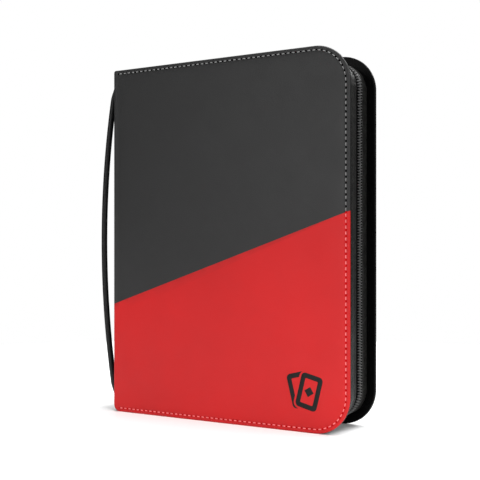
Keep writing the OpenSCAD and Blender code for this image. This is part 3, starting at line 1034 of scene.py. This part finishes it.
PER_SIDE = 3
WELD = 2.0
FILM_T = 0.12
BASE_HALF = 0.2
# how far a film stands off in the middle of a pocket, how much that varies, and how far its
# free edge lifts at the slit, which is at this share of the way across
PUFF = 0.26
SLACK = 0.05
SLIT_RISE = 0.12
SLIT_AT = 0.045


def pocket_lines(low, high):
    """Grid lines across three pockets, each with its share of the way across its pocket."""
    pitch = (high - low - WELD) / PER_SIDE
    shares = (0, 0.02, SLIT_AT, 0.1, 0.2, 0.35, 0.5, 0.65, 0.8, 0.9, 0.955, 0.98, 1)
    lines = [(low, 0.0)]
    for k in range(PER_SIDE):
        start = low + WELD + k * pitch
        lines += [(mix(start, start + pitch - WELD, t), t) for t in shares]
    return lines + [(high, 0.0)]


def in_pocket(lines):
    """For each gap between grid lines, whether it is part of a pocket and not of a weld."""
    return [b > a for (_, a), (_, b) in zip(lines, lines[1:])]


def film_height(a, b, u, z):
    """How far a pocket's film stands off, low at the welds and lifted at the slit near a = 0."""
    crown = (1 - (2 * a - 1) ** 6) * (1 - (2 * b - 1) ** 6)
    slit = SLIT_RISE * math.exp(-(((a - SLIT_AT) / 0.025) ** 2)) if 0 < b < 1 else 0
    slack = SLACK * noise.noise(Vector((u / 16, z / 22, 0)))
    return FILM_T + crown * (PUFF + slack) + slit


def pocket_films(node, body):
    """Clear film on both faces of a sheet, welded into nine side-loading pockets."""
    (u0, u1), (v0, v1), (z0, z1) = span(node)
    across, up = pocket_lines(u0, u1), pocket_lines(z0, z1)
    inside_across = in_pocket(across)
    middle = (v0 + v1) / 2
    bm = bmesh.new()
    for way in (-1, 1):
        rows = []
        for z, b in up:
            row = []
            for u, a in across:
                off = BASE_HALF + film_height(a, b, u, z)
                row.append(bm.verts.new(put(u, middle + way * off, z)))
            rows.append(row)
        for low, high, inside_up in zip(rows, rows[1:], in_pocket(up)):
            for i in range(len(across) - 1):
                face = bm.faces.new((low[i], low[i + 1], high[i + 1], high[i]))
                face.material_index = 1 - (inside_across[i] and inside_up)
    obj = to_object(node + "_film", bm, FILM, 60)
    obj.data.materials.append(WELD_FILM)
    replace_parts(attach(obj, body), node)


# the welded rim round a punched hole: (distance from its centre, height over the middle)
RIM_PROFILE = ((4.6, 0.1), (4.7, 0.26), (5, 0.31), (6, 0.31), (6.4, 0.26), (6.6, 0.1))


def punched_holes(node):
    """Centres of a sheet's holes as (u, z), from the points that lie inside its outline."""
    (u0, u1), _, (z0, z1) = span(node)
    apart = 50
    groups = {}
    for vert in frame["nodes"][node].data.vertices:
        u, z = (vert.co.x - U0) / MM, vert.co.z / MM
        if u0 + 1 < u < u1 - 1 and z0 + 5 < z < z1 - 5:
            groups.setdefault(round((z - HEIGHT / 2) / apart), []).append((u, z))
    centres = []
    for points in groups.values():
        us, zs = zip(*points)
        centres.append(((min(us) + max(us)) / 2, (min(zs) + max(zs)) / 2))
    return centres


def sheet_base(node, body):
    """A sheet's base: round edges, and a rim on both faces round each punched hole."""
    bm = round_edges(node, 0.12)
    _, (v0, v1), _ = span(node)
    middle = (v0 + v1) / 2
    for u, z in punched_holes(node):
        for way in (-1, 1):
            rings = [circle(u, middle + way * rise, z, radius, 36) for radius, rise in RIM_PROFILE]
            add_loft(bm, rings, wrap=True)
    obj = to_object(node + "_welded_base", bm, SHEET, 50)
    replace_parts(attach(obj, body), node)


def sheets():
    for side in ("front", "back"):
        for i in range(1, 6):
            sheet_base(f"{side}_sheet_{i}", f"{side}_page_{i}")
            pocket_films(f"{side}_pockets_{i}", f"{side}_page_{i}")


# ---- stage, lights and camera ----

AMBIENT = 0.15
FLOOR_R = 0.8

# the camera, in metres and millimetres of lens
CAMERA_PLACE = (0.4829, -0.7804, 0.1657)
CAMERA_TURN = 31.1
CAMERA_LENS = 69.5
CAMERA_SHIFT = 0.0208


def floor():
    """A wide pale floor, slightly uneven in tone."""
    s = Surface("pale_floor", Specular_IOR_Level=0.0)
    tone = s.blend(s.spread(s.noise(0.8, 2), 0, 1), (0.95, 0.95, 0.95), (0.97, 0.97, 0.97))
    material = s.finish(tone, s.spread(s.noise(2, 2), 0.9, 1.0))
    bm = bmesh.new()
    bmesh.ops.create_circle(bm, cap_ends=True, segments=96, radius=FLOOR_R)
    obj = to_object("floor", bm, material)


def world():
    """A white backdrop whose own light on the binder is dim, so that the lamps shape it."""
    made = bpy.data.worlds.new("studio")
    made.use_nodes = True
    tree = made.node_tree
    ambient = tree.nodes["Background"]
    ambient.inputs["Color"].default_value = (1, 1, 1, 1)
    ambient.inputs["Strength"].default_value = AMBIENT
    backdrop = tree.nodes.new("ShaderNodeBackground")
    backdrop.inputs["Color"].default_value = (1, 1, 1, 1)
    ray = tree.nodes.new("ShaderNodeLightPath")
    join = tree.nodes.new("ShaderNodeMixShader")
    tree.links.new(ray.outputs["Is Camera Ray"], join.inputs[0])
    tree.links.new(ambient.outputs[0], join.inputs[1])
    tree.links.new(backdrop.outputs[0], join.inputs[2])
    tree.links.new(join.outputs[0], tree.nodes["World Output"].inputs[0])
    bpy.context.scene.world = made


def area_light(name, place, target, size, power):
    data = bpy.data.lights.new(name, "AREA")
    data.shape = "RECTANGLE"
    data.size, data.size_y = size
    data.energy = power
    obj = bpy.data.objects.new(name, data)
    obj.location = place
    obj.rotation_mode = "QUATERNION"
    obj.rotation_quaternion = (Vector(target) - Vector(place)).to_track_quat("-Z", "Y")
    bpy.context.scene.collection.objects.link(obj)


def lights():
    world()
    middle = (0, 0, HEIGHT * MM / 2)
    area_light("top_softbox", (0.3, 0.1, 2.5), (0, 0, 0), (2.2, 2.2), 97)
    area_light("back_softbox", (0.9, 1.5, 1.7), middle, (0.6, 0.6), 21)
    area_light("front_softbox", (-0.35, -2.0, 0.55), middle, (1.4, 1.1), 13)
    area_light("right_softbox", (2.4, -1.2, 1.1), middle, (1.4, 1.4), 32)


def camera():
    """Level with the binder, and turned round towards its opening side."""
    data = bpy.data.cameras.new("camera")
    data.lens = CAMERA_LENS
    data.sensor_width = 36
    data.shift_y = CAMERA_SHIFT
    obj = bpy.data.objects.new("camera", data)
    obj.location = CAMERA_PLACE
    obj.rotation_euler = (math.radians(90), 0, math.radians(CAMERA_TURN))
    bpy.context.scene.collection.objects.link(obj)
    bpy.context.scene.camera = obj
    bpy.context.scene.view_settings.view_transform = "Standard"


# ---- the binder ----


def paint_frame():
    """Gives every CAD node its finish, whether or not a detailed piece stands for it."""
    finishes = {
        "board": BOARD, "ring_steel": STEEL, "sheet_base": SHEET, "pocket_film": FILM,
        "zip_metal": GUNMETAL, "lining": LINING, "gusset_skin": GUSSET, "black_skin": BLACK,
        "grey_skin": CHARCOAL, "red_skin": RED, "handle_skin": HANDLE, "mark_print": MARK,
        "zip_tape": TAPE_AND_SHADE_BLACK, "zip_teeth": TEETH,
    }
    for part in frame["record"]["subparts"]:
        mesh = frame["nodes"][part["node"]].data
        mesh.materials.clear()
        mesh.materials.append(finishes[part["material_slot"]])


paint_frame()
front_cover()
back_cover()
cover_inside("front", "front_cover")
cover_inside("back", "back_cover")
seams()
card_mark()
front_gusset()
back_gusset()
tapes()
teeth()
spine()
spine_lining()
hinge_fold("front")
hinge_fold("back")
handle()
tab_seams()
metal_parts()
ring_wires()
sheets()
floor()
lights()
camera()
